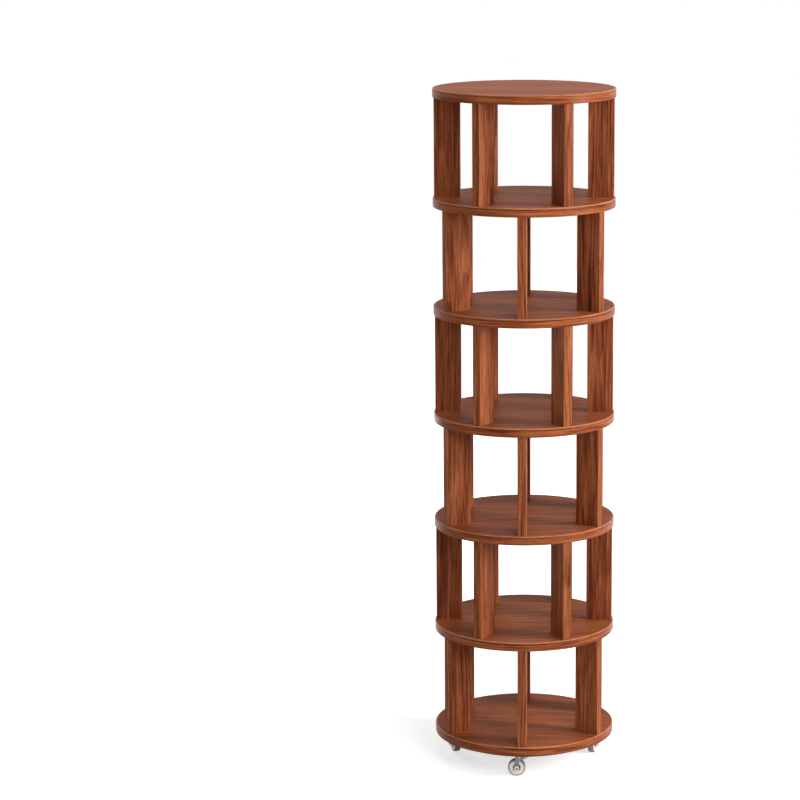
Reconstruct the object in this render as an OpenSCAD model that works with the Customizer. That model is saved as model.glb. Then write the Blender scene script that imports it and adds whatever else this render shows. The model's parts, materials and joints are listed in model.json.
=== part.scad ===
// Rotating corner bookshelf. Seven round boards stand on six staggered uprights a tier, and the
// whole column turns on a ball-bearing ring over a steel chassis with four swivel casters.
// Millimetres, +Z up. The front faces -Y, and the origin is on the floor, on the turning axis.

/* [Boards] */
// Diameter of each round board
board_d = 500; // [480:5:600]
// Thickness of each board
board_t = 25; // [22:1:30]
// Radius of both rounded edges of a board's rim
board_round = 3; // [1:0.5:6]

/* [Uprights] */
// Clear height between two boards
tier_h = 273; // [220:1:340]
// Thickness of an upright
upright_t = 25; // [22:1:32]
// Depth of an upright, along the radius
upright_depth = 72; // [68:1:100]
// Distance that an upright stands back from the rim
upright_inset = 4; // [3:0.5:10]
// Bevel along the long edges of an upright
upright_bevel = 1.5; // [0.5:0.1:3]
// Distance between the two screws and the two dowels of an upright
fixing_pitch = 40; // [30:1:46]

/* [Dowels] */
// Diameter of a dowel
dowel_d = 8; // [6:1:10]
// Depth of a dowel in the board above it
dowel_in_board = 12; // [8:1:16]
// Depth of a dowel in the upright below it
dowel_in_upright = 20; // [14:1:28]
// Space left at each end of a dowel
dowel_end_gap = 1; // [0.5:0.1:2]
// Bevel at both ends of a dowel
dowel_bevel = 1; // [0.4:0.1:1.5]

/* [Connecting screws] */
// Diameter of the neck, which fills the board
neck_d = 7; // [6:0.5:8]
// Diameter of the thread, which bites into the upright
thread_d = 5; // [4:0.5:5.5]
// Depth of the thread in the upright
thread_bite = 28; // [20:1:36]
// Diameter of the countersunk head
head_d = 10; // [9:0.5:12]
// Width across the flats of the socket in the head
socket_w = 4; // [3:0.5:5]
// Depth of the socket in the head
socket_depth = 3; // [2:0.5:4]
// Height of the head's straight edge, above its cone
head_land = 1; // [0.5:0.1:1.5]
// Radius left at the tip of the thread
screw_tip_r = 0.5; // [0.3:0.1:1]
// Space left at the tip of each screw that ends in wood
screw_end_gap = 1; // [0.5:0.1:2]

/* [Fits] */
// Radial clearance of each fixed dowel, screw and pin in its hole
hole_fit = 0.05; // [0.02:0.01:0.1]
// Radial clearance of each wheel and fork on the pin that it turns on
turn_fit = 0.05; // [0.02:0.01:0.1]
// Clearance between a ball and its groove
ball_fit = 0.05; // [0.02:0.01:0.08]
// Height left between the caster's race and the fork under it
race_gap = 0.1; // [0.05:0.05:0.3]
// Film left between two pieces that are clamped or moulded onto each other
seat_film = 0.02; // [0.01:0.01:0.05]

/* [Turntable] */
// Diameter of the circle on which the balls run
track_d = 254; // [240:2:270]
// Height of the turntable, from the chassis to the bottom board
turntable_h = 8; // [8:0.5:12]
// Width of each ring, along the radius
ring_w = 23; // [20:1:26]
// Gap between the inner and the outer ring
ring_gap = 1.2; // [0.8:0.1:1.6]
// Height that each ring keeps from what the other ring is fixed to
ring_lift = 1; // [0.6:0.1:1.2]
// Diameter of a ball
ball_d = 5; // [4:0.25:5]
// Number of balls
ball_n = 24; // [12:1:36]
// Diameter of the screws through both rings
ring_screw_d = 4; // [3:0.5:4.5]
// Diameter of those screws' countersunk heads
ring_head_d = 8; // [7:0.5:9]
// Depth of the outer ring's screws in the bottom board
ring_screw_bite = 14; // [10:1:18]
// Width across the flats of the socket in those screws
ring_socket_w = 2.5; // [2:0.5:3]
// Depth of that socket
ring_socket_depth = 1.5; // [1:0.1:2]
// Width across the flats of the nuts on the inner ring's screws
ring_nut_flats = 7; // [6:0.5:8]
// Height of those nuts
ring_nut_h = 3.2; // [2.4:0.1:4]

/* [Chassis] */
// Distance from the outer ends of the casters' plates to the edge of the chassis
chassis_edge = 2; // [0:0.5:6]
// Thickness of the chassis plate
chassis_t = 4; // [3:0.5:5]
// Width of the rim outside the windows
rim_w = 15; // [12:1:18]
// Width of the four arms between the windows
arm_w = 56; // [52:1:66]
// Diameter of the hole in the middle
middle_hole_d = 120; // [80:2:140]
// Radius of the windows' corners
window_corner = 8; // [4:1:12]
// Height of the stiffening ribs under the arms
rib_h = 6; // [3:0.5:8]
// Thickness of a stiffening rib
rib_t = 2.5; // [2:0.5:4]
// Distance of each rib's inner end from the hole in the middle
rib_start = 8; // [5:1:20]
// Distance of each rib's outer end from the swivel axis of the caster
rib_end = 30; // [28:1:40]

/* [Casters] */
// Radius of the circle on which the casters stand
caster_r = 190; // [184:1:190]
// Height of a caster, from the floor to the chassis
caster_h = 62; // [60:1:75]
// Length of the mounting plate, along the radius
plate_l = 50; // [46:1:50]
// Width of the mounting plate
plate_w = 36; // [32:1:44]
// Thickness of the mounting plate
plate_t = 2.5; // [2:0.5:3]
// Radius of the mounting plate's corners
plate_corner = 5; // [2:0.5:7]
// Distance between the plate's screws along the radius
plate_pitch_l = 36; // [34:1:38]
// Distance between the plate's screws across the radius
plate_pitch_w = 18; // [17:1:22]
// Diameter of the plate's screws
plate_screw_d = 5; // [4:0.5:6]
// Diameter of those screws' heads
plate_head_d = 9.5; // [8:0.5:10]
// Height of those screws' heads
plate_head_h = 3; // [2:0.1:3.2]
// Bevel round those screws' heads
plate_head_bevel = 1.3; // [0.6:0.1:1.8]
// Bevel at the end of those screws
plate_screw_bevel = 0.6; // [0.3:0.1:1]
// Width across the flats of the socket in those heads
plate_socket_w = 3; // [2.5:0.5:4]
// Depth of that socket
plate_socket_depth = 1.6; // [1:0.1:1.8]
// Width across the flats of the nuts on those screws
plate_nut_flats = 8; // [7.5:0.5:9]
// Height of those nuts
plate_nut_h = 4; // [3:0.1:5]
// Diameter of the race pressed down from the plate
race_d = 28; // [24:1:28]
// Height of that race
race_h = 3.5; // [3.4:0.1:5]
// Diameter of the kingpin
kingpin_d = 8; // [6:0.5:10]
// Diameter of the kingpin's head under the fork
kingpin_head_d = 13; // [12:0.5:15]
// Height of that head
kingpin_head_h = 2.5; // [2:0.1:3]
// Bevel round that head
kingpin_head_bevel = 0.8; // [0.4:0.1:1.2]
// Depth of the kingpin's countersunk top in the plate
kingpin_cone_h = 2; // [1.5:0.1:2.2]
// Thickness of the fork's sheet
fork_t = 2; // [1.5:0.25:2.5]
// Distance of the wheel's axle behind the swivel axis
trail = 16; // [14:0.5:20]
// Width of a fork's leg above the axle
leg_w = 12; // [10:0.5:14.5]
// Diameter of the leg's round end at the axle
leg_end_d = 15; // [14:0.5:18]
// Height of the leg's narrow stretch above the axle
leg_neck_h = 12; // [9:0.5:14]
// Height of the leg's broad stretch under the top of the fork
leg_skirt_h = 5; // [4:0.5:8]
// Reach of the fork in front of the swivel axis
crown_front = 12; // [11:0.5:15]
// Distance by which each leg leans back from the top of the fork to its narrow stretch
leg_lean = 2; // [0:0.5:3]
// Diameter of the fork's round crown
crown_d = 32; // [30:1:34]

/* [Wheels] */
// Diameter of a wheel
wheel_d = 48; // [42:1:50]
// Width of the tyre
tyre_w = 17; // [14:0.5:18]
// Radius of the arc that rounds the tyre's shoulders
shoulder_r = 13; // [12:0.5:15]
// Depth of that arc's centre inside the tread
shoulder_depth = 11.5; // [10:0.5:12]
// Diameter of the hub, inside the tyre
hub_d = 21; // [20:0.5:25]
// Width of the hub at the axle
hub_w = 19; // [18.5:0.5:20]
// Depth of the recess in both faces of the hub
hub_recess = 2.5; // [1:0.5:4]
// Width of that recess, round the boss
hub_recess_w = 3.5; // [2:0.5:5]
// Slope at the foot of the boss
boss_slope = 1; // [0.5:0.1:1.5]
// Space between the hub and each leg of the fork
hub_gap = 0.5; // [0.3:0.1:1]
// Diameter of the axle bolt
axle_d = 8; // [6:0.5:8]
// Width across the flats of the axle's head and nut
axle_flats = 13; // [12:0.5:14]
// Height of the axle's head
axle_head_h = 5.3; // [4:0.1:6]
// Height of the axle's nut
axle_nut_h = 6.5; // [5:0.1:7]
// Distance of the axle's end below the face of its nut
axle_end = 1.5; // [0.5:0.1:2]

/* [Hidden] */
$fn = 64;
eps = 0.01;
over = 1; // How far a cut reaches past the face that it leaves by
tier_n = 6;
upright_n = 6;
caster_n = 4;
ring_screw_n = 8;

// Direction in which each caster trails at rest, counted from +X, for the front, right, back and left one
trail_dir = [180, 75, 320, 110];

// Levels from the floor up
chassis_z = caster_h;
chassis_top = chassis_z + chassis_t;
column_z = chassis_top + turntable_h;
pitch_z = board_t + tier_h;
function board_z(i) = column_z + (i - 1) * pitch_z;
function tier_z(tier) = board_z(tier) + board_t;

// Plan of the uprights: each tier is turned half a step against the tier below it
step_deg = 360 / upright_n;
function tier_deg(tier) = tier % 2 == 0 ? step_deg / 2 : 0;
upright_out = board_d / 2 - upright_inset;
upright_mid = upright_out - upright_depth / 2;
head_cone_h = (head_d - neck_d) / 2;

// Turntable and chassis
track_r = track_d / 2;
ball_z = chassis_top + turntable_h / 2;
ring_h = turntable_h - ring_lift;
inner_screw_r = track_r - ring_gap / 2 - ring_w / 2;
outer_screw_r = track_r + ring_gap / 2 + ring_w / 2;
outer_screw_deg = 180 / ring_screw_n;
chassis_d = 2 * (caster_r + plate_l / 2 + chassis_edge);
window_in_r = track_r + ring_gap;
window_out_r = chassis_d / 2 - rim_w;
ring_cone_h = (ring_head_d - ring_screw_d) / 2;
rib_in = middle_hole_d / 2 + rib_start;

// Caster
wheel_r = wheel_d / 2;
crown_top = caster_h - plate_t - race_h;
kingpin_head_z = crown_top - fork_t - race_gap;
fork_in = hub_w / 2 + hub_gap;
fork_out = fork_in + fork_t;
leg_front = trail - leg_w / 2;
leg_back = trail + leg_w / 2;
leg_neck_z = wheel_r + leg_neck_h;
skirt_z = crown_top - leg_skirt_h;
flare_steps = 8;

function upright_name(tier, n) = str("tier_", tier, "_upright_", n);
function board_name(i) =
    i == 1 ? "bottom_board" : i == tier_n + 1 ? "top_board" : str("shelf_board_", i - 1);
function fork_name(c) = str("caster_", c, "_fork");
function wheel_name(c) = str("caster_", c, "_wheel");

// Repeats its children at every upright of one tier, with the upright's own axis at the origin
module at_uprights(tier) {
    for (n = [1 : upright_n]) at_upright(tier, n) children();
}

module at_upright(tier, n) {
    rotate([0, 0, tier_deg(tier) + (n - 1) * step_deg]) translate([0, -upright_mid, 0]) children();
}

module at_fixings() {
    for (side = [-1, 1]) translate([0, side * fixing_pitch / 2, 0]) children();
}

// Repeats its children at every screw of a ring, starting at the angle given
module at_ring_screws(radius, start) {
    for (i = [0 : ring_screw_n - 1])
        rotate([0, 0, start + i * 360 / ring_screw_n]) translate([0, -radius, 0]) children();
}

// A caster's swivel axis, with +X along its radius
module at_caster(c) {
    rotate([0, 0, (c - 1) * 360 / caster_n - 90]) translate([caster_r, 0, 0]) children();
}

// A caster's swivel axis, with +X along its trail
module at_swivel(c) {
    az = (c - 1) * 360 / caster_n - 90;
    translate([caster_r * cos(az), caster_r * sin(az), 0]) rotate([0, 0, trail_dir[c - 1]]) children();
}

module at_plate_screws() {
    for (along = [-1, 1], across = [-1, 1])
        translate([along * plate_pitch_l / 2, across * plate_pitch_w / 2, 0]) children();
}

// A disc with its outer edges rounded
module rounded_disc(r, h, round_r) {
    rotate_extrude() {
        square([r - round_r, h]);
        translate([0, round_r]) square([r, h - 2 * round_r]);
        for (z = [round_r, h - round_r]) translate([r - round_r, z]) circle(r = round_r);
    }
}

// A disc with its outer edges bevelled
module bevelled_disc(r, h, bevel) {
    rotate_extrude()
        polygon([[0, 0], [r - bevel, 0], [r, bevel], [r, h - bevel], [r - bevel, h], [0, h]]);
}

// A hexagon by its width across the flats
module hex_prism(flats, h) {
    cylinder(d = flats / cos(30), h = h, $fn = 6);
}

// The connecting screw, head down, with its head at z = 0
module connecting_screw() {
    neck_r = neck_d / 2;
    thread_r = thread_d / 2;
    head_r = head_d / 2;
    tip = board_t + thread_bite;
    rotate_extrude()
        polygon([
            [0, 0], [head_r, 0], [head_r, head_land], [neck_r, head_land + head_cone_h], [neck_r, board_t],
            [thread_r, board_t], [thread_r, tip - thread_r], [screw_tip_r, tip], [0, tip]
        ]);
}

module board(i) {
    color("sienna")
        translate([0, 0, board_z(i)])
            difference() {
                rounded_disc(board_d / 2, board_t, board_round);
                if (i <= tier_n) at_uprights(i) at_fixings() board_screw_hole();
                if (i > 1) at_uprights(i - 1) at_fixings() board_dowel_hole();
                if (i == 1)
                    at_ring_screws(outer_screw_r, outer_screw_deg) translate([0, 0, -eps])
                        cylinder(d = ring_screw_d + 2 * hole_fit, h = ring_screw_bite + screw_end_gap);
            }
}

module board_screw_hole() {
    translate([0, 0, -eps]) {
        cylinder(d = head_d + 2 * hole_fit, h = head_land + 2 * eps);
        translate([0, 0, head_land + eps])
            cylinder(d1 = head_d + 2 * hole_fit, d2 = neck_d + 2 * hole_fit, h = head_cone_h);
        cylinder(d = neck_d + 2 * hole_fit, h = board_t + over);
    }
}

module board_dowel_hole() {
    translate([0, 0, -eps]) cylinder(d = dowel_d + 2 * hole_fit, h = dowel_in_board + dowel_end_gap + eps);
}

// One upright, square to the radius, with pilot holes in its foot and dowel holes in its head
module upright(tier, n) {
    half_t = upright_t / 2;
    half_d = upright_depth / 2;
    b = upright_bevel;
    color("saddlebrown")
        at_upright(tier, n)
            translate([0, 0, tier_z(tier)])
                difference() {
                    linear_extrude(tier_h)
                        polygon([
                            [-half_t + b, -half_d], [half_t - b, -half_d], [half_t, -half_d + b],
                            [half_t, half_d - b], [half_t - b, half_d], [-half_t + b, half_d],
                            [-half_t, half_d - b], [-half_t, -half_d + b]
                        ]);
                    at_fixings() translate([0, 0, -eps])
                        cylinder(d = thread_d + 2 * hole_fit, h = thread_bite + screw_end_gap);
                    at_fixings() translate([0, 0, tier_h - dowel_in_upright - dowel_end_gap])
                        cylinder(d = dowel_d + 2 * hole_fit, h = dowel_in_upright + dowel_end_gap + eps);
                }
}

// Two screws hold the foot of each upright, from under the board that it stands on
module upright_screws() {
    color("silver")
        for (tier = [1 : tier_n])
            translate([0, 0, board_z(tier)])
                at_uprights(tier) at_fixings()
                    difference() {
                        connecting_screw();
                        translate([0, 0, -eps]) hex_prism(socket_w, socket_depth);
                    }
}

// Two dowels join the head of each upright to the board above it
module upright_dowels() {
    length = dowel_in_board + dowel_in_upright;
    color("burlywood")
        for (tier = [1 : tier_n])
            translate([0, 0, board_z(tier + 1) - dowel_in_upright])
                at_uprights(tier) at_fixings() bevelled_disc(dowel_d / 2, length, dowel_bevel);
}

// A ring of the turntable, between two radii, with half of the ball track cut into it
module track_ring(inner_r, outer_r, z) {
    rotate_extrude()
        difference() {
            translate([inner_r, z]) square([outer_r - inner_r, ring_h]);
            translate([track_r, ball_z]) circle(d = ball_d + 2 * ball_fit);
        }
}

// Screw with a countersunk head, head up, with the top of its head at z = 0
module flat_screw(length) {
    shank_r = ring_screw_d / 2;
    rotate_extrude()
        polygon([
            [0, 0], [ring_head_d / 2, 0], [shank_r, -ring_cone_h], [shank_r, -length], [0, -length]
        ]);
}

// The hole for that screw through a ring
module flat_screw_hole() {
    head_r = ring_head_d / 2 + hole_fit;
    shank_r = ring_screw_d / 2 + hole_fit;
    depth = ring_h + over;
    rotate_extrude()
        polygon([
            [0, over], [head_r, over], [head_r, 0], [shank_r, -ring_cone_h], [shank_r, -depth], [0, -depth]
        ]);
}

module outer_ring() {
    color("gainsboro")
        difference() {
            track_ring(track_r + ring_gap / 2, track_r + ring_gap / 2 + ring_w, column_z - ring_h);
            at_ring_screws(outer_screw_r, outer_screw_deg)
                translate([0, 0, column_z - ring_h]) mirror([0, 0, 1]) flat_screw_hole();
        }
}

// The socket in the head of that screw
module ring_screw_socket() {
    translate([0, 0, -ring_socket_depth]) hex_prism(ring_socket_w, ring_socket_depth + over);
}

// Wood screws from below, through the outer ring into the bottom board
module outer_ring_screws() {
    length = ring_h + ring_screw_bite;
    color("silver")
        at_ring_screws(outer_screw_r, outer_screw_deg)
            translate([0, 0, column_z - ring_h]) mirror([0, 0, 1])
                difference() {
                    flat_screw(length);
                    ring_screw_socket();
                }
}

module inner_ring() {
    color("gainsboro")
        difference() {
            track_ring(track_r - ring_gap / 2 - ring_w, track_r - ring_gap / 2, chassis_top);
            at_ring_screws(inner_screw_r, 0)
                translate([0, 0, chassis_top + ring_h]) flat_screw_hole();
        }
}

module turntable_balls() {
    color("lightgray")
        for (i = [0 : ball_n - 1])
            rotate([0, 0, i * 360 / ball_n]) translate([track_r, 0, ball_z]) sphere(d = ball_d);
}

// Laser-cut steel disc with four windows, and ribs under the arms between them
module chassis() {
    color("dimgray")
        difference() {
            union() {
                translate([0, 0, chassis_z])
                    linear_extrude(chassis_t)
                        difference() {
                            circle(d = chassis_d);
                            circle(d = middle_hole_d);
                            chassis_windows();
                        }
                for (c = [1 : caster_n], side = [-1, 1])
                    rotate([0, 0, (c - 1) * 360 / caster_n])
                        translate([rib_in, side * (arm_w - rib_t) / 2 - rib_t / 2, chassis_z - rib_h])
                            cube([caster_r - rib_end - rib_in, rib_t, rib_h + chassis_t / 2]);
            }
            at_ring_screws(inner_screw_r, 0) translate([0, 0, chassis_z - over])
                cylinder(d = ring_screw_d + 2 * hole_fit, h = chassis_t + 2 * over);
            for (c = [1 : caster_n])
                at_caster(c) at_plate_screws() translate([0, 0, chassis_z - over])
                    cylinder(d = plate_screw_d + 2 * hole_fit, h = chassis_t + 2 * over);
        }
}

// Windows through which the outer ring's screws are driven, with round corners
module chassis_windows() {
    offset(r = window_corner, $fn = 32)
        offset(delta = -window_corner)
            difference() {
                circle(r = window_out_r, $fn = 96);
                circle(r = window_in_r, $fn = 96);
                for (turn = [0, 90]) rotate(turn) square([chassis_d, arm_w], center = true);
            }
}

// Hexagon nut on a screw, with its lower face at z = 0
module nut(screw_d, flats, h) {
    difference() {
        hex_prism(flats, h);
        translate([0, 0, -over]) cylinder(d = screw_d + 2 * hole_fit, h = h + 2 * over);
    }
}

// Screws and nuts that hold the inner ring and the casters' plates to the chassis
module chassis_bolts() {
    color("silver") {
        at_ring_screws(inner_screw_r, 0) {
            translate([0, 0, chassis_top + ring_h])
                difference() {
                    flat_screw(ring_h + chassis_t + ring_nut_h);
                    ring_screw_socket();
                }
            translate([0, 0, chassis_z - ring_nut_h]) nut(ring_screw_d, ring_nut_flats, ring_nut_h);
        }
        for (c = [1 : caster_n]) at_caster(c) at_plate_screws() {
            plate_screw();
            translate([0, 0, chassis_top]) nut(plate_screw_d, plate_nut_flats, plate_nut_h);
        }
    }
}

// Pan-head screw from below, through the caster's plate and the chassis
module plate_screw() {
    grip = plate_t + chassis_t + plate_nut_h;
    head_r = plate_head_d / 2;
    shank_r = plate_screw_d / 2;
    b = plate_head_bevel;
    translate([0, 0, caster_h - plate_t])
        difference() {
            rotate_extrude()
                polygon([
                    [0, -plate_head_h], [head_r - b, -plate_head_h], [head_r, b - plate_head_h],
                    [head_r, 0], [shank_r, 0], [shank_r, grip - plate_screw_bevel],
                    [shank_r - plate_screw_bevel, grip], [0, grip]
                ]);
            translate([0, 0, -plate_head_h - over]) hex_prism(plate_socket_w, plate_socket_depth + over);
        }
}

// The kingpin's outline: riveted flush into the plate, with a head under the fork
module kingpin_profile() {
    r = kingpin_d / 2;
    head_r = kingpin_head_d / 2;
    foot_z = kingpin_head_z - kingpin_head_h;
    b = kingpin_head_bevel;
    polygon([
        [0, caster_h], [r + kingpin_cone_h, caster_h], [r, caster_h - kingpin_cone_h],
        [r, kingpin_head_z], [head_r, kingpin_head_z],
        [head_r, foot_z + b], [head_r - b, foot_z], [0, foot_z]
    ]);
}

module rounded_plate() {
    hull()
        for (along = [-1, 1], across = [-1, 1])
            translate([along * (plate_l / 2 - plate_corner), across * (plate_w / 2 - plate_corner)])
                circle(r = plate_corner, $fn = 32);
}

// Four plates with a pressed race, and the kingpins riveted into them
module caster_plates() {
    color("silver")
        for (c = [1 : caster_n]) at_caster(c) {
            difference() {
                union() {
                    translate([0, 0, caster_h - plate_t]) linear_extrude(plate_t) rounded_plate();
                    translate([0, 0, crown_top + race_gap]) cylinder(d = race_d, h = race_h);
                }
                rotate_extrude()
                    polygon([
                        [0, caster_h + over],
                        [kingpin_d / 2 + hole_fit + kingpin_cone_h + over, caster_h + over],
                        [kingpin_d / 2 + hole_fit, caster_h - kingpin_cone_h],
                        [kingpin_d / 2 + hole_fit, crown_top], [0, crown_top]
                    ]);
                at_plate_screws() translate([0, 0, caster_h - plate_t - over])
                    cylinder(d = plate_screw_d + 2 * hole_fit, h = plate_t + 2 * over);
            }
            rotate_extrude() kingpin_profile();
        }
}

// A fork's leg from the side: a broad head under the crown, flared down to a neck over the axle
module leg_outline() {
    flare = [for (i = [0 : flare_steps]) 90 - i * 90 / flare_steps];
    difference() {
        union() {
            polygon(concat(
                [[-crown_front, crown_top]],
                [for (a = flare) [
                    -crown_front + (leg_front + crown_front) * cos(a),
                    leg_neck_z + (skirt_z - leg_neck_z) * sin(a)
                ]],
                [
                    [leg_front, wheel_r], [leg_back, wheel_r], [leg_back, leg_neck_z],
                    [leg_back - leg_lean, skirt_z], [leg_back - leg_lean, crown_top]
                ]
            ));
            translate([trail, wheel_r]) circle(d = leg_end_d);
        }
        translate([trail, wheel_r]) circle(d = axle_d + 2 * hole_fit);
    }
}

// Stamped fork, its axle bolt and the nut, which faces local +Y
module caster_fork(c) {
    color("silver") at_swivel(c) {
        difference() {
            union() {
                translate([0, 0, crown_top - fork_t])
                    linear_extrude(fork_t) {
                        circle(d = crown_d);
                        translate([-crown_front, -fork_out])
                            square([crown_front + leg_back - leg_lean, 2 * fork_out]);
                    }
                for (y = [-fork_in, fork_out])
                    translate([0, y, 0]) rotate([90, 0, 0]) linear_extrude(fork_t) leg_outline();
            }
            translate([0, 0, crown_top - fork_t - over])
                cylinder(d = kingpin_d + 2 * turn_fit, h = fork_t + 2 * over);
        }
        translate([trail, 0, wheel_r]) rotate([-90, 0, 0]) {
            bolt_seat = -fork_out - seat_film;
            nut_seat = fork_out + seat_film;
            translate([0, 0, bolt_seat - axle_head_h]) hex_prism(axle_flats, axle_head_h);
            translate([0, 0, bolt_seat])
                cylinder(d = axle_d, h = nut_seat - bolt_seat + axle_nut_h - axle_end);
            translate([0, 0, nut_seat])
                difference() {
                    hex_prism(axle_flats, axle_nut_h);
                    translate([0, 0, -over])
                        cylinder(d = axle_d + 2 * hole_fit, h = axle_nut_h + 2 * over);
                }
        }
    }
}

// Hub with recessed faces, and the tyre moulded round it
module caster_wheel(c) {
    at_swivel(c) translate([trail, 0, wheel_r]) rotate([90, 0, 0]) {
        bore_r = axle_d / 2 + turn_fit;
        boss_r = hub_d / 2 - hub_recess_w;
        tyre_in = hub_d / 2 + seat_film;
        color("dimgray")
            rotate_extrude()
                polygon([
                    [bore_r, -hub_w / 2], [boss_r - boss_slope, -hub_w / 2],
                    [boss_r, -hub_w / 2 + hub_recess], [hub_d / 2, -hub_w / 2 + hub_recess],
                    [hub_d / 2, hub_w / 2 - hub_recess], [boss_r, hub_w / 2 - hub_recess],
                    [boss_r - boss_slope, hub_w / 2], [bore_r, hub_w / 2]
                ]);
        color("white")
            rotate_extrude()
                intersection() {
                    translate([tyre_in, -tyre_w / 2]) square([wheel_r - tyre_in, tyre_w]);
                    translate([wheel_r - shoulder_depth, 0]) circle(r = shoulder_r);
                }
    }
}

for (i = [1 : tier_n + 1])
    board(i);
for (tier = [1 : tier_n], n = [1 : upright_n])
    upright(tier, n);
upright_screws();
upright_dowels();
outer_ring();
outer_ring_screws();
inner_ring();
turntable_balls();
chassis();
chassis_bolts();
caster_plates();
for (c = [1 : caster_n])
    caster_fork(c);
for (c = [1 : caster_n])
    caster_wheel(c);
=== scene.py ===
import json
import math
from collections import namedtuple

import bpy
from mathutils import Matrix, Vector


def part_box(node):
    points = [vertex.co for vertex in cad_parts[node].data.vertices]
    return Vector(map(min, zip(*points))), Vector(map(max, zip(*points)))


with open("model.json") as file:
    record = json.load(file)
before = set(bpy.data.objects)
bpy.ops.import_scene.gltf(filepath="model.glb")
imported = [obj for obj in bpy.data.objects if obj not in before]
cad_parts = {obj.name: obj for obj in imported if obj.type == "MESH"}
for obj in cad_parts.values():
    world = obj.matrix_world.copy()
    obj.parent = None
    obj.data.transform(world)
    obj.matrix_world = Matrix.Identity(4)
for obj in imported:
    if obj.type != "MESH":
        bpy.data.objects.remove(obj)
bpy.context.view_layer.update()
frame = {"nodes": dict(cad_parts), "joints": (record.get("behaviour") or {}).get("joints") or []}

NODES = frame["nodes"]
JOINTS = {joint["name"]: joint for joint in frame["joints"]}
BOARDS = [name for name in NODES if name.endswith("_board") or name.startswith("shelf_board_")]
UPRIGHTS = [name for name in NODES if name.startswith("tier_")]
CASTER_N = sum(name.endswith("_wheel") for name in NODES)

# Sizes read from the frame, in metres like every length here
board_low, board_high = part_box("bottom_board")
BOARD_R = board_high.x
BOARD_T = board_high.z - board_low.z
BOARD_Z = board_low.z  # underside of the lowest board
PITCH_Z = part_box("shelf_board_1")[0].z - BOARD_Z  # from one board to the next
TOP_LEVEL = len(BOARDS) - 1  # boards are counted from zero, from the floor up
plank_low, plank_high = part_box("tier_1_upright_1")  # the front one of the lowest tier
UPRIGHT_T = plank_high.x - plank_low.x
UPRIGHT_DEPTH = plank_high.y - plank_low.y
UPRIGHT_MID = -(plank_low.y + plank_high.y) / 2  # from the column's axis
HALF_STEP = math.pi / sum(name.startswith("tier_1_") for name in UPRIGHTS)  # turn of the next tier
WHEEL_R = JOINTS["caster_1_wheel_roll"]["pos_m"][2]  # the height of its axle

# Sizes inside one node, repeated from the part
HUB_R = 0.0105
FORK_OUT = 0.012  # from the wheel's middle to the outer faces of the fork's legs
BOLT_R = 0.0085  # takes in the axle bolt's head and nut
EDGE = 0.00001  # keeps a mask clear of the face that it starts at


def rgb(r, g, b):
    """An sRGB colour from 0 to 255 as linear RGBA."""
    def linear(c):
        c /= 255
        return c / 12.92 if c <= 0.04045 else ((c + 0.055) / 1.055) ** 2.4
    return (linear(r), linear(g), linear(b), 1)


def tones(*rows):
    """Stops for a colour ramp, from rows of a place from 0 to 1 and an sRGB colour."""
    return [(place, rgb(*colour)) for place, *colour in rows]


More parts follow.
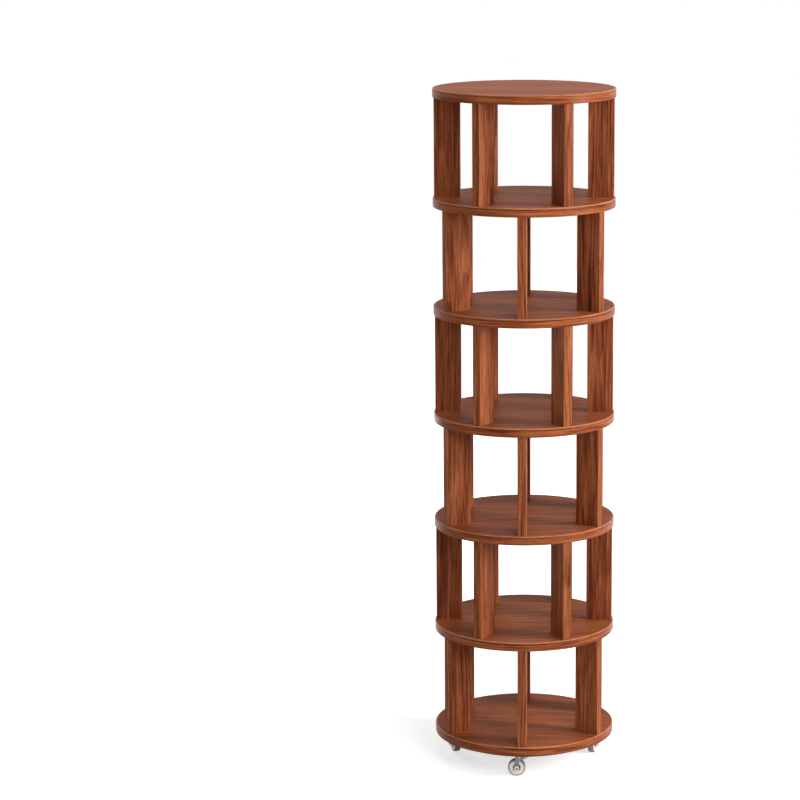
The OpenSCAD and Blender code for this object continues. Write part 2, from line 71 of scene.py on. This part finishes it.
class Tree:
    """The nodes of one new material or world. A call adds nodes and returns their output."""

    def __init__(self, owner, end):
        self.owner = owner
        owner.use_nodes = True
        self.tree = owner.node_tree
        self.tree.nodes.clear()
        self.end = self.tree.nodes.new(end)

    def put(self, socket, value):
        if isinstance(value, bpy.types.NodeSocket):
            self.tree.links.new(value, socket)
        else:
            socket.default_value = value

    def node(self, kind, values, output=0, **props):
        n = self.tree.nodes.new(kind)
        for key, value in props.items():
            setattr(n, key, value)
        for key, value in values.items():
            self.put(n.inputs[key], value)
        return n.outputs[output]

    def math(self, op, *args):
        return self.node("ShaderNodeMath", dict(enumerate(args)), operation=op)

    def add(self, a, b):
        return self.math("ADD", a, b)

    def subtract(self, a, b):
        return self.math("SUBTRACT", a, b)

    def divide(self, a, b):
        return self.math("DIVIDE", a, b)

    def times(self, a, b, plus=None):
        """a times b, and plus a third value where there is one."""
        if plus is None:
            return self.math("MULTIPLY", a, b)
        return self.math("MULTIPLY_ADD", a, b, plus)

    def vec(self, op, *args, output=0):
        return self.node("ShaderNodeVectorMath", dict(enumerate(args)), output, operation=op)

    def xyz(self, vector):
        n = self.tree.nodes.new("ShaderNodeSeparateXYZ")
        self.put(n.inputs[0], vector)
        return n.outputs[0], n.outputs[1], n.outputs[2]

    def join(self, x, y, z):
        return self.node("ShaderNodeCombineXYZ", {0: x, 1: y, 2: z})

    def length(self, vector):
        return self.vec("LENGTH", vector, output="Value")

    def radius(self, x, y):
        """Distance from the column's axis."""
        return self.math("SQRT", self.add(self.times(x, x), self.times(y, y)))

    def turned(self, vector, angle):
        """A place turned about the column's axis."""
        values = {"Vector": vector, "Angle": angle}
        return self.node("ShaderNodeVectorRotate", values, rotation_type="Z_AXIS")

    def noise(self, vector, scale, seed, detail=2.0, rough=0.5, distortion=0.0):
        """Soft noise about 0.5, with scale cells to the metre."""
        values = {
            "Vector": vector, "W": seed, "Scale": scale, "Detail": detail, "Roughness": rough,
            "Distortion": distortion,
        }
        return self.node("ShaderNodeTexNoise", values, noise_dimensions="4D")

    def random(self, vector):
        return self.node("ShaderNodeTexWhiteNoise", {"Vector": vector}, noise_dimensions="3D")

    def range(self, value, low, high, to_low=0.0, to_high=1.0, kind="SMOOTHSTEP"):
        """to_low at low, to_high at high, and no more beyond them. low may be the greater one."""
        values = {0: value, 1: low, 2: high, 3: to_low, 4: to_high}
        return self.node("ShaderNodeMapRange", values, interpolation_type=kind)

    def ramp(self, value, stops):
        n = self.tree.nodes.new("ShaderNodeValToRGB")
        self.put(n.inputs[0], value)
        marks = n.color_ramp.elements
        while len(marks) < len(stops):
            marks.new(0.5)
        for mark, (place, colour) in zip(marks, stops):
            mark.position = place
            mark.color = colour
        return n.outputs[0]

    def mix(self, share, a, b):
        """Colour a where share is 0, colour b where it is 1."""
        return self.node("ShaderNodeMix", {0: share, 6: a, 7: b}, 2, data_type="RGBA")

    def choose(self, share, a, b):
        """Number a where share is 0, number b where it is 1."""
        return self.node("ShaderNodeMix", {0: share, 2: a, 3: b}, 0, data_type="FLOAT")

    def weigh(self, base, *pairs):
        """base, plus each value's distance from 0.5 times its weight."""
        total = base
        for value, weight in pairs:
            total = self.times(self.subtract(value, 0.5), weight, plus=total)
        return total

    def bump(self, height, strength, depth):
        values = {"Height": height, "Strength": strength, "Distance": depth}
        return self.node("ShaderNodeBump", values)

    def place(self):
        """The point's own coordinates. They are the frame's at rest, and move with the piece."""
        return self.node("ShaderNodeTexCoord", {}, "Object")

    def seen(self):
        """1 for the camera and for what a surface mirrors or lets through, 0 for other light."""
        path = self.tree.nodes.new("ShaderNodeLightPath")
        camera, glossy, through = (
            path.outputs[f"Is {kind} Ray"] for kind in ("Camera", "Glossy", "Transmission")
        )
        return self.math("MAXIMUM", self.math("MAXIMUM", camera, glossy), through)

    def show(self, shader):
        """Takes a shader as the result, and returns the material or world."""
        self.tree.links.new(shader, self.end.inputs["Surface"])
        return self.owner

    def surface(self, **values):
        """A Principled surface. Its inputs are named with underscores for spaces."""
        named = {key.replace("_", " "): value for key, value in values.items()}
        return self.show(self.node("ShaderNodeBsdfPrincipled", named))


def material(name):
    return Tree(bpy.data.materials.new(name), "ShaderNodeOutputMaterial")


def levels(t, z):
    """Height in steps from board to board, with a whole number in the middle of each board."""
    return t.divide(t.subtract(z, BOARD_Z + BOARD_T / 2), PITCH_Z)


# Wood space has the grain along Z. These shares of Z stretch the figure along the grain, and the
# annual rings are counted across it at a slant.
BROAD_Z, FINE_Z, PORES_Z = 0.055, 0.028, 0.05
RING_SLANT = (0.82, 0.57)
RINGS_PER_M = 85.0
RING_BEND = 13.0

Grain = namedtuple("Grain", "tone fine pores late")


def figure(t, wood, seed, broad_w=0.6, contrast=1.0):
    """Tone, fine grain, pores and late wood, each from about 0 to 1."""
    x, y, z = t.xyz(wood)
    slow = t.join(x, y, t.times(z, BROAD_Z))
    thin = t.join(x, y, t.times(z, FINE_Z))
    bend = t.noise(slow, 15.0, seed)
    broad = t.noise(slow, 30.0, t.add(seed, 7.3), rough=0.55)
    streak = t.noise(slow, 150.0, t.add(seed, 3.1), detail=3.0, rough=0.6, distortion=0.3)
    fine = t.noise(thin, 420.0, t.add(seed, 5.7), detail=3.0, rough=0.62)

    across = t.add(t.times(x, RING_SLANT[0]), t.times(y, RING_SLANT[1]))
    rings = t.times(across, RINGS_PER_M, plus=t.times(bend, RING_BEND))
    ring = t.math("FRACT", t.add(rings, seed))
    late = t.times(t.range(ring, 0.35, 0.9), t.range(ring, 1.0, 0.93))

    pores = t.noise(t.join(x, y, t.times(z, PORES_Z)), 1900.0, seed, detail=1.0)
    pores = t.range(pores, 0.63, 0.76)

    tone = t.weigh(0.53, (broad, broad_w), (streak, 0.8 * contrast), (fine, 1.0 * contrast))
    tone = t.times(late, -0.2 * contrast, plus=tone)
    return Grain(tone, fine, pores, late)


# Walnut from its darkest line to its palest. The boards are a little redder than the uprights.
WALNUT = tones(
    (0.00, 57, 22, 13), (0.22, 91, 43, 25), (0.42, 125, 65, 37),
    (0.60, 147, 83, 50), (0.80, 169, 105, 68), (1.00, 192, 133, 96),
)
WALNUT_BOARDS = tones(
    (0.00, 57, 21, 11), (0.22, 91, 41, 22), (0.42, 125, 62, 33),
    (0.60, 147, 80, 45), (0.80, 169, 101, 62), (1.00, 192, 130, 91),
)
WALNUT_WORN = rgb(196, 132, 92)
# The boards' edge colour, for wear on both arrises and a painted highlight on the upper one
BOARDS_WORN_AND_HIGHLIT = rgb(198, 133, 95)
PORE_DARK = rgb(48, 22, 15)
BEECH = tones((0.0, 176, 128, 84), (0.5, 208, 166, 120), (1.0, 228, 194, 152))
BEECH_WORN = rgb(228, 194, 152)


def varnished(t, grain, stops, worn_and_highlit, wear=0.0, shine=0.08, dull=0.42):
    """Satin varnish over wood: colour, roughness and bump from one figure."""
    colour = t.ramp(grain.tone, stops)
    colour = t.mix(t.times(grain.pores, 0.5), colour, PORE_DARK)
    # The edge colour is wear, and on the boards' upper arris also a painted highlight
    colour = t.mix(wear, colour, worn_and_highlit)
    rough = t.times(grain.fine, 0.16, plus=dull)
    rough = t.times(grain.pores, 0.2, plus=rough)
    rough = t.times(wear, 0.1, plus=rough)
    height = t.times(grain.pores, -0.8, plus=t.times(grain.fine, 0.5))
    height = t.times(grain.late, 0.25, plus=height)
    normal = t.bump(height, strength=0.35, depth=0.00015)
    return t.surface(
        Base_Color=colour, Roughness=rough, Normal=normal, Specular_IOR_Level=shine,
    )


def upright_wood():
    """Straight-grained planks. Each one reads its own place, so that no two are alike."""
    wear_from, wear_to = 0.0019, 0.0004  # depths under both faces of an arris
    t = material("walnut_uprights")
    place = t.place()
    x, y, z = t.xyz(place)
    index = t.math("ROUND", t.divide(t.math("ARCTAN2", y, x), HALF_STEP))
    tier = t.math("FLOOR", levels(t, z))
    radial, side, up = t.xyz(t.turned(place, t.times(index, -HALF_STEP)))
    pick = t.random(t.join(index, tier, 4.0))
    other = t.random(t.join(index, tier, 9.0))

    lean = t.times(t.subtract(other, 0.5), 0.06)
    wood = t.join(t.times(up, lean, plus=side), radial, up)
    grain = figure(t, wood, t.times(pick, 40.0))
    tone = t.weigh(t.subtract(grain.tone, 0.01), (other, 0.1))

    def near_faces(offset, width):
        """Grows from 0 to 1 towards the two faces of a width."""
        half = width / 2
        return t.range(t.math("ABSOLUTE", offset), half - wear_from, half - wear_to)

    arris = t.times(
        near_faces(side, UPRIGHT_T),
        near_faces(t.subtract(radial, UPRIGHT_MID), UPRIGHT_DEPTH),
    )
    spots = t.noise(place, 60.0, seed=2.0, detail=3.0, rough=0.6)
    wear = t.times(arris, t.range(spots, 0.3, 0.7, 0.25, 0.75))
    return varnished(t, grain._replace(tone=tone), WALNUT, WALNUT_WORN, wear, shine=0.05)


def veneer(t, place, level, pick, seed):
    """Leaves of veneer side by side on a board, each mirrored against the next, and their seams."""
    leaf_w = 0.11
    shift = 5.055  # keeps every place above zero and lays a seam near the middle
    along, over, up = t.xyz(t.turned(place, t.times(t.subtract(pick, 0.5), 0.25)))
    shifted = t.add(over, shift)
    leaf = t.math("FLOOR", t.divide(shifted, leaf_w))
    leaf_tone = t.random(t.join(leaf, level, 6.0))
    matched = t.math("PINGPONG", shifted, leaf_w)
    slice_y = t.times(level, 0.7, plus=up)
    grain = figure(t, t.join(matched, slice_y, along), seed, broad_w=0.45, contrast=0.7)
    tone = t.weigh(t.add(grain.tone, 0.07), (leaf_tone, 0.12))
    share = t.math("FRACT", t.divide(shifted, leaf_w))
    off_middle = t.math("ABSOLUTE", t.subtract(share, 0.5))
    seam = t.range(off_middle, 0.4975, 0.4995, 0.0, 0.35)
    return grain._replace(tone=tone), seam


def board_wood():
    """Veneered faces with the grain from side to side, and a lipping with it round the rim."""
    lipping = 0.006
    soft, glue_w = 0.0001, 0.0004  # blur of the lipping's inner edge, and reach of its glue line
    reflection_depth = 0.0052  # of a painted dark reflection in the rim, a line under the upper face
    t = material("walnut_boards")
    place = t.place()
    x, y, z = t.xyz(place)
    radius = t.radius(x, y)
    level = t.math("ROUND", levels(t, z))
    height = t.subtract(t.subtract(z, BOARD_Z), t.times(level, PITCH_Z))
    pick = t.random(t.join(level, 3.0, 1.0))
    seed = t.times(pick, 30.0)

    # Each of these grows from 0 to 1 between two depths, counted from the rim or from a face
    def in_rim(start, end):
        return t.range(radius, BOARD_R - start, BOARD_R - end)

    def under_top(start, end):
        return t.range(height, BOARD_T - start, BOARD_T - end)

    def over_bottom(start, end):
        return t.range(height, start, end)

    face, seam = veneer(t, place, level, pick, seed)
    edge = figure(t, t.join(t.add(z, radius), t.times(y, 0.045), x), seed, broad_w=0.25)
    rim = in_rim(lipping + soft, lipping - soft)
    grain = Grain(*(t.choose(rim, a, b) for a, b in zip(face, edge)))

    spots = t.noise(place, 45.0, seed=4.0, detail=3.0, rough=0.6)
    glue = t.times(in_rim(lipping + glue_w, lipping), in_rim(lipping - glue_w, lipping))
    # A painted dark reflection: a thin dark line round the rim under the upper arris, fainter on
    # the top board
    off_reflection = t.math("ABSOLUTE", t.subtract(height, BOARD_T - reflection_depth))
    line = t.times(t.range(off_reflection, 0.0017, 0.0004), t.range(spots, 0.35, 0.6, 0.25, 1.0))
    line = t.times(line, in_rim(0.0004, 0.0002))
    line = t.times(line, t.range(level, TOP_LEVEL - 0.6, TOP_LEVEL - 0.4, 1.0, 0.35))
    tone = t.subtract(grain.tone, t.times(seam, t.subtract(1.0, rim)))
    tone = t.times(glue, -0.3, plus=tone)
    tone = t.times(line, -0.32, plus=tone)

    # Lighter arrises: wear on both, and on the upper arris a painted highlight too, so it is
    # stronger there
    upper = t.times(under_top(0.0034, 0.0016), in_rim(0.0036, 0.0024))
    lower = t.times(over_bottom(0.0024, 0.0008), in_rim(0.0026, 0.0014))
    wear = t.times(upper, t.range(spots, 0.3, 0.7, 0.35, 0.75))
    wear = t.times(t.times(lower, t.range(spots, 0.4, 0.7, 0.0, 0.5)), 0.6, plus=wear)

    # The lower arris is duller, so that the facets of its mesh throw no sharp highlights
    under = t.times(over_bottom(0.0024, 0.0010), in_rim(0.0036, 0.0030))
    dull = t.times(under, 0.5, plus=t.choose(rim, 0.46, 0.24))
    grain = grain._replace(tone=tone)
    return varnished(t, grain, WALNUT_BOARDS, BOARDS_WORN_AND_HIGHLIT, wear, shine=0.06, dull=dull)


def beech():
    t = material("beech_dowels")
    return varnished(t, figure(t, t.place(), 11.0), BEECH, BEECH_WORN)


def zinc(name, seed, *stops):
    """Zinc plate: faint spangle, handling marks and a little grime."""
    t = material(name)
    place = t.place()
    spangle = t.noise(place, 240.0, seed=seed)
    grime = t.noise(place, 70.0, seed=seed + 3, detail=4.0, rough=0.6)
    marks = t.noise(t.vec("MULTIPLY", place, (1.0, 1.0, 0.15)), 900.0, seed=seed + 5, rough=0.6)
    marks = t.range(marks, 0.60, 0.74)
    colour = t.ramp(t.weigh(0.5, (spangle, 0.5), (grime, 0.6)), tones(*stops))
    rough = t.times(marks, 0.16, plus=t.weigh(0.36, (grime, 0.3), (spangle, 0.14)))
    normal = t.bump(t.times(marks, -0.6, plus=spangle), strength=0.2, depth=0.0001)
    return t.surface(Base_Color=colour, Metallic=1.0, Roughness=rough, Normal=normal)


def turned_aluminium():
    """Rings turned on a lathe, with fine concentric marks."""
    t = material("ring_aluminium")
    place = t.place()
    x, y, z = t.xyz(place)
    grooves = t.join(t.radius(x, y), t.times(x, 0.002), z)
    lines = t.noise(grooves, 5200.0, seed=1.0, detail=3.0, rough=0.6)
    patches = t.noise(place, 40.0, seed=8.0, detail=3.0)
    shade = t.weigh(0.5, (lines, 0.5), (patches, 0.4))
    colour = t.ramp(shade, tones((0.0, 158, 161, 165), (1.0, 204, 206, 208)))
    rough = t.weigh(0.32, (patches, 0.16), (lines, 0.12))
    normal = t.bump(lines, strength=0.25, depth=0.00006)
    return t.surface(Base_Color=colour, Metallic=1.0, Roughness=rough, Normal=normal)


def ball_steel():
    """Polished balls with a slight haze."""
    t = material("ball_steel")
    haze = t.noise(t.place(), 900.0, seed=1.0, detail=3.0)
    colour = t.mix(haze, rgb(176, 178, 182), rgb(206, 207, 209))
    rough = t.weigh(0.15, (haze, 0.12))
    normal = t.bump(haze, strength=0.05, depth=0.00005)
    return t.surface(Base_Color=colour, Metallic=1.0, Roughness=rough, Normal=normal)


def powder_coat():
    """Black powder coat with its orange peel and a little dust."""
    t = material("chassis_paint")
    place = t.place()
    peel = t.noise(place, 700.0, seed=1.0)
    dust = t.noise(place, 35.0, seed=6.0, detail=4.0, rough=0.6)
    shade = t.weigh(0.4, (dust, 0.8), (peel, 0.2))
    colour = t.ramp(shade, tones((0.0, 22, 22, 23), (0.6, 36, 36, 37), (1.0, 64, 63, 61)))
    rough = t.weigh(0.5, (dust, 0.25), (peel, 0.1))
    normal = t.bump(peel, strength=0.35, depth=0.00012)
    return t.surface(Base_Color=colour, Roughness=rough, Normal=normal)


def round_axle(t, number):
    """A point's offset from the middle of a caster's wheel, its way along the axle, its radius."""
    roll = JOINTS[f"caster_{number}_wheel_roll"]
    axle = tuple(roll["axis"])
    arm = t.vec("SUBTRACT", t.place(), tuple(roll["pos_m"]))
    along = t.vec("DOT_PRODUCT", arm, axle, output="Value")
    flat = t.vec("SUBTRACT", arm, t.vec("MULTIPLY", t.join(along, along, along), axle))
    return arm, along, t.length(flat)


def wheel_finish(number):
    """Dark moulded hub and pale tyre, told apart by the radius; dirt specks and painted shade on
    the tread.
    """
    t = material(f"caster_{number}_wheel_finish")
    arm, _, radius = round_axle(t, number)
    tyre = t.math("GREATER_THAN", radius, HUB_R + EDGE)
    tread = t.range(radius, WHEEL_R - 0.0052, WHEEL_R - 0.0028)
    grain = t.noise(arm, 1300.0, seed=number)
    cloud = t.noise(arm, 120.0, seed=number + 4, detail=4.0, rough=0.6)
    specks = t.range(t.noise(arm, 420.0, seed=number + 9, detail=3.0, rough=0.65), 0.56, 0.72)
    dirt = t.times(specks, tread)

    pale = t.ramp(
        t.weigh(0.55, (cloud, 0.8), (grain, 0.15)),
        tones((0.0, 220, 211, 205), (0.5, 238, 229, 224), (1.0, 244, 238, 234)),
    )
    # Painted shade greys the tread all round, as the rounded shoulder looks in shade; the specks
    # below are dirt
    pale = t.mix(t.times(tread, t.range(cloud, 0.3, 0.7, 0.65, 0.95)), pale, rgb(112, 107, 102))
    pale = t.mix(t.times(dirt, 0.5), pale, rgb(88, 84, 78))
    dark = t.ramp(
        t.weigh(0.45, (cloud, 0.7), (grain, 0.3)),
        tones((0.0, 13, 12, 12), (0.6, 22, 21, 21), (1.0, 42, 40, 39)),
    )
    rough = t.times(tyre, -0.08, plus=t.weigh(0.46, (cloud, 0.2), (grain, 0.12)))
    rough = t.times(tread, 0.18, plus=rough)
    normal = t.bump(t.times(dirt, -0.8, plus=grain), strength=0.25, depth=0.0001)
    return t.surface(
        Base_Color=t.mix(tyre, dark, pale), Roughness=rough, Normal=normal,
        Specular_IOR_Level=0.12,
    )


def fork_finish(number):
    """Zinc sheet for the fork. The bolt's head and nut, outside its legs, are bright."""
    t = material(f"caster_{number}_fork_finish")
    arm, along, radius = round_axle(t, number)
    outside = t.math("GREATER_THAN", t.math("ABSOLUTE", along), FORK_OUT + EDGE)
    bolt = t.times(outside, t.math("LESS_THAN", radius, BOLT_R))
    recess_shade = t.times(bolt, t.range(radius, 0.0052, 0.0034))
    spangle = t.noise(arm, 240.0, seed=number + 20)
    grime = t.noise(arm, 80.0, seed=number + 23, detail=4.0, rough=0.6)
    marks = t.range(t.noise(arm, 1000.0, seed=number + 25, rough=0.6), 0.60, 0.74)

    shade = t.weigh(0.5, (spangle, 0.5), (grime, 0.7))
    sheet = t.ramp(shade, tones((0.0, 78, 76, 78), (0.5, 112, 110, 111), (1.0, 148, 146, 145)))
    bright = t.ramp(
        shade, tones((0.0, 186, 180, 172), (0.5, 222, 214, 206), (1.0, 238, 232, 226)),
    )
    colour = t.mix(bolt, sheet, bright)
    # Painted shade darkens the recess in the middle of the bolt's end
    colour = t.mix(t.times(recess_shade, 0.7), colour, rgb(84, 76, 72))
    rough = t.times(marks, 0.16, plus=t.weigh(0.42, (grime, 0.3), (spangle, 0.14)))
    normal = t.bump(t.times(marks, -0.6, plus=spangle), strength=0.2, depth=0.0001)
    metallic = t.times(bolt, -0.4, plus=1.0)
    return t.surface(Base_Color=colour, Metallic=metallic, Roughness=rough, Normal=normal)


def dress(finish, *names):
    """Gives CAD nodes a material in place of the one that they came with."""
    for name in names:
        mesh = NODES[name].data
        mesh.materials.clear()
        mesh.materials.append(finish)


def dress_all():
    dress(board_wood(), *BOARDS)
    dress(upright_wood(), *UPRIGHTS)
    dress(beech(), "upright_dowels")
    screws = zinc(
        "zinc_screws", 2.0, (0.0, 158, 158, 160), (0.5, 194, 193, 192), (1.0, 218, 216, 213),
    )
    bolts = zinc(
        "bolt_zinc", 6.0, (0.0, 196, 186, 182), (0.5, 226, 216, 212), (1.0, 240, 234, 230),
    )
    # Zinc painted dark and brownish: a painted shade under the bottom board and a painted
    # reflection of the walnut
    shaded_plates = zinc(
        "plate_zinc_painted_shade", 14.0, (0.0, 66, 56, 58), (0.5, 94, 82, 84), (1.0, 132, 122, 122),
    )
    dress(screws, "upright_screws", "outer_ring_screws")
    dress(bolts, "chassis_bolts")
    dress(shaded_plates, "caster_plates")
    dress(turned_aluminium(), "outer_ring", "inner_ring")
    dress(ball_steel(), "turntable_balls")
    dress(powder_coat(), "chassis")
    for number in range(1, CASTER_N + 1):
        dress(fork_finish(number), f"caster_{number}_fork")
        dress(wheel_finish(number), f"caster_{number}_wheel")


def floor():
    """A pale floor. It glows less near the object, so that the shadow there shows."""
    half = 9.0
    near, far = 0.45, 2.6  # distances between which the glow grows
    t = material("floor_paper")
    grain = t.noise(t.place(), 60.0, seed=1.0, detail=4.0, rough=0.6)
    colour = t.mix(grain, rgb(226, 226, 225), rgb(234, 234, 233))
    paper = t.node("ShaderNodeBsdfDiffuse", {"Color": colour})
    glow = t.times(t.seen(), t.range(t.length(t.place()), near, far, 0.62, 1.0))
    light = t.node("ShaderNodeEmission", {"Color": (1, 1, 1, 1), "Strength": glow})
    mesh = bpy.data.meshes.new("floor")
    corners = [(-half, -half, 0), (half, -half, 0), (half, half, 0), (-half, half, 0)]
    mesh.from_pydata(corners, [], [(0, 1, 2, 3)])
    mesh.materials.append(t.show(t.node("ShaderNodeAddShader", {0: paper, 1: light})))
    obj = bpy.data.objects.new("floor", mesh)
    bpy.context.scene.collection.objects.link(obj)


def sky():
    """White for the camera, and a dim light from all round for everything else."""
    dim = 0.24
    t = Tree(bpy.data.worlds.new("studio"), "ShaderNodeOutputWorld")
    strength = t.range(t.seen(), 0.0, 1.0, dim, 1.0, kind="LINEAR")
    white = t.node("ShaderNodeBackground", {"Color": (1, 1, 1, 1), "Strength": strength})
    bpy.context.scene.world = t.show(white)


def area_light(name, place, target, size, power, mirrored=True):
    """A light of the studio, its power in watts. One that isn't mirrored gives no highlights."""
    data = bpy.data.lights.new(name, "AREA")
    data.shape = "RECTANGLE"
    data.size, data.size_y = size
    data.energy = power
    obj = bpy.data.objects.new(name, data)
    obj.location = place
    obj.rotation_euler = (Vector(target) - Vector(place)).to_track_quat("-Z", "Y").to_euler()
    obj.visible_glossy = mirrored
    bpy.context.scene.collection.objects.link(obj)


def camera():
    """Fitted to the boards' arrises in the photo. Focal length and centre are in its pixels."""
    picture = 800
    focal = 2757.8
    centre_x, centre_y = 524.2, 372
    distance, height = 7.4885, 2.536
    orbit = math.radians(1.4)
    down = 0.1893  # radians under the horizontal
    sensor = 36  # millimetres
    data = bpy.data.cameras.new("camera")
    data.sensor_width = sensor
    data.lens = sensor * focal / picture
    data.shift_x = (picture / 2 - centre_x) / picture
    data.shift_y = (centre_y - picture / 2) / picture
    data.clip_end = 100
    obj = bpy.data.objects.new("camera", data)
    obj.location = (distance * math.sin(orbit), -distance * math.cos(orbit), height)
    obj.rotation_euler = (math.pi / 2 - down, 0, orbit)
    bpy.context.scene.collection.objects.link(obj)
    bpy.context.scene.camera = obj


dress_all()
floor()
sky()
area_light("key", (4.6, -1.2, 2.4), (0, 0, 1.0), (1.6, 2.4), 285)
area_light("top", (0.3, -0.9, 4.4), (0, 0, 1.4), (2.4, 2.0), 34)
area_light("front", (2.2, -5.0, 3.3), (0, 0, 0.9), (2.4, 2.2), 125)
area_light("fill", (-3.8, -3.6, 1.8), (0, 0, 0.9), (1.8, 2.2), 15)
area_light("back", (-2.9, 4.4, 0.95), (0, 0, 0.9), (2.0, 1.6), 125, mirrored=False)
camera()
bpy.context.scene.view_settings.view_transform = "Standard"
